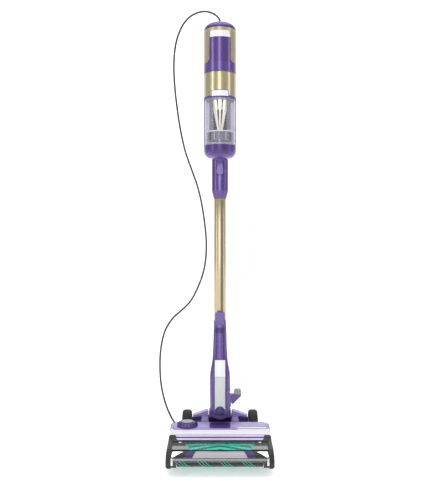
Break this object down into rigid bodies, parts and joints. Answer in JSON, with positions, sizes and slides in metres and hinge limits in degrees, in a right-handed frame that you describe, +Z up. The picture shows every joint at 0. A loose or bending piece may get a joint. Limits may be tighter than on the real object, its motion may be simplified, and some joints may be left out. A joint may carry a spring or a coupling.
{
  "type": "stick vacuum",
  "caption": "Corded upright stick vacuum: powered floor head with rolls and rear wheels, two-way swivel neck, metal wand, handset with clear cyclone cup and loop handle.",
  "frame": {"origin": "on the floor under the middle of the vacuum, measured without its mains lead", "axes": "+Z up, -Y the front of the floor head, +X to the right as seen from the front"},
  "size_m": [0.3067, 0.3942, 1.2079],
  "materials": {
    "metallic_purple": "metallic gloss purple moulding",
    "lavender": "satin metallic lavender moulding",
    "gold_metal": "brushed champagne anodised aluminium",
    "gold_plastic": "champagne metallic plastic",
    "silver_plastic": "satin silver plastic",
    "white_plastic": "satin white plastic",
    "black_plastic": "satin black plastic",
    "grey_plastic": "mid grey plastic",
    "rubber": "matt black rubber",
    "cord_jacket": "dark grey vinyl jacket",
    "bristle_teal": "teal nylon fins and bristles",
    "roller_pile": "short dense pile",
    "clear_plastic": "clear smoked polycarbonate",
    "lens": "clear lamp lens",
    "steel": "turned steel",
    "foam": "open-cell foam",
    "filter_paper": "pleated paper"
  },
  "bodies": {
    "floor_head": {"head_base": "black_plastic", "sole_plate": "black_plastic", "top_cover": "lavender", "top_trim": "white_plastic", "light_bar_bezel": "lavender", "brush_window": "clear_plastic", "right_headlight": "lens", "left_headlight": "lens", "front_visor": "clear_plastic", "badge_plate": "silver_plastic", "right_cheek": "black_plastic", "left_cheek": "black_plastic", "squeegee": "rubber", "brush_motor": "steel", "drive_belt": "rubber", "roller_belt": "rubber", "wheel_carriage": "lavender", "pitch_pin": "steel", "right_axle": "steel", "left_axle": "steel", "cord_lower": "cord_jacket", "cord_coil": "cord_jacket", "plug": "cord_jacket"},
    "soft_roller": {"front_roller": "roller_pile"},
    "bristle_roll": {"brush_roll": "bristle_teal"},
    "motor_rotor": {"motor_pulley": "steel"},
    "right_rear_wheel": {"right_wheel": "black_plastic"},
    "left_rear_wheel": {"left_wheel": "black_plastic"},
    "scent_dial": {"odour_dial": "metallic_purple", "odour_cartridge": "grey_plastic"},
    "neck_yoke": {"yoke": "black_plastic"},
    "upright": {"neck_front_shell": "metallic_purple", "neck_back_shell": "metallic_purple", "neck_panel": "white_plastic", "swivel_pin": "metallic_purple", "dust_hose": "rubber", "wand_tube": "gold_metal", "wand_connector": "metallic_purple", "motor_housing": "metallic_purple", "gold_band": "gold_plastic", "front_panel": "metallic_purple", "right_grille": "gold_plastic", "left_grille": "gold_plastic", "top_cap": "metallic_purple", "hepa_filter": "filter_paper", "suction_motor": "steel", "premotor_filter": "foam", "dust_cup": "clear_plastic", "cyclone_cone": "silver_plastic", "rear_duct": "metallic_purple", "handle": "metallic_purple", "cord_gland": "rubber", "cord_upper": "cord_jacket"},
    "fan": {"impeller": "steel"},
    "hook": {"cord_hook": "metallic_purple"},
    "foot_latch": {"lower_release_tab": "metallic_purple"},
    "wand_latch": {"wand_release_button": "metallic_purple"},
    "cup_door": {"cup_lid": "metallic_purple"},
    "door_latch": {"lid_release": "black_plastic"},
    "power_key": {"power_button": "grey_plastic"}
  },
  "joints": [
    {"name": "recline", "type": "hinge", "parent": "floor_head", "child": "neck_yoke", "pos_m": [0, 0.08, 0.06], "axis": [-1, 0, 0], "range_deg": [0, 80], "deforming": ["cord_lower"]},
    {"name": "swivel", "type": "hinge", "parent": "neck_yoke", "child": "upright", "pos_m": [0, 0.035, 0.108], "axis": [0, 1, 0], "range_deg": [-45, 45], "deforming": ["cord_upper"]},
    {"name": "bristle_spin", "type": "hinge", "parent": "floor_head", "child": "bristle_roll", "pos_m": [0, -0.076, 0.022], "axis": [1, 0, 0], "continuous": true},
    {"name": "roller_spin", "type": "hinge", "parent": "floor_head", "child": "soft_roller", "pos_m": [0, -0.115, 0.019], "axis": [1, 0, 0], "continuous": true},
    {"name": "motor_spin", "type": "hinge", "parent": "floor_head", "child": "motor_rotor", "pos_m": [0, -0.01, 0.032], "axis": [1, 0, 0], "continuous": true},
    {"name": "right_wheel_spin", "type": "hinge", "parent": "floor_head", "child": "right_rear_wheel", "pos_m": [0.091, 0.091, 0.045], "axis": [1, 0, 0], "continuous": true},
    {"name": "left_wheel_spin", "type": "hinge", "parent": "floor_head", "child": "left_rear_wheel", "pos_m": [-0.091, 0.091, 0.045], "axis": [1, 0, 0], "continuous": true},
    {"name": "dial_turn", "type": "hinge", "parent": "floor_head", "child": "scent_dial", "pos_m": [-0.086, -0.002, 0.075], "axis": [0, 0, 1], "range_deg": [-90, 0]},
    {"name": "hook_turn", "type": "hinge", "parent": "upright", "child": "hook", "pos_m": [0.03, 0.035, 0.136], "axis": [1, 0, 0], "range_deg": [0, 180]},
    {"name": "foot_latch_press", "type": "slide", "parent": "upright", "child": "foot_latch", "axis": [0, 1, 0], "range_m": [0, 0.0018], "stiffness_N_per_m": 600},
    {"name": "wand_latch_press", "type": "slide", "parent": "upright", "child": "wand_latch", "axis": [0, 1, 0], "range_m": [0, 0.002], "stiffness_N_per_m": 600},
    {"name": "cup_door_swing", "type": "hinge", "parent": "upright", "child": "cup_door", "pos_m": [0, 0.009, 0.7712], "axis": [1, 0, 0], "range_deg": [0, 75]},
    {"name": "door_latch_slide", "type": "slide", "parent": "upright", "child": "door_latch", "axis": [0, 0, -1], "range_m": [0, 0.006], "stiffness_N_per_m": 300},
    {"name": "power_press", "type": "slide", "parent": "upright", "child": "power_key", "axis": [0, 0, -1], "range_m": [0, 0.0025], "stiffness_N_per_m": 400},
    {"name": "fan_spin", "type": "hinge", "parent": "upright", "child": "fan", "pos_m": [0, -0.035, 1.001], "axis": [0, 0, 1], "continuous": true}
  ],
  "couplings": [
    {"joint": "roller_spin", "follows": "bristle_spin", "ratio": 1},
    {"joint": "motor_spin", "follows": "bristle_spin", "ratio": 1.8}
  ]
}
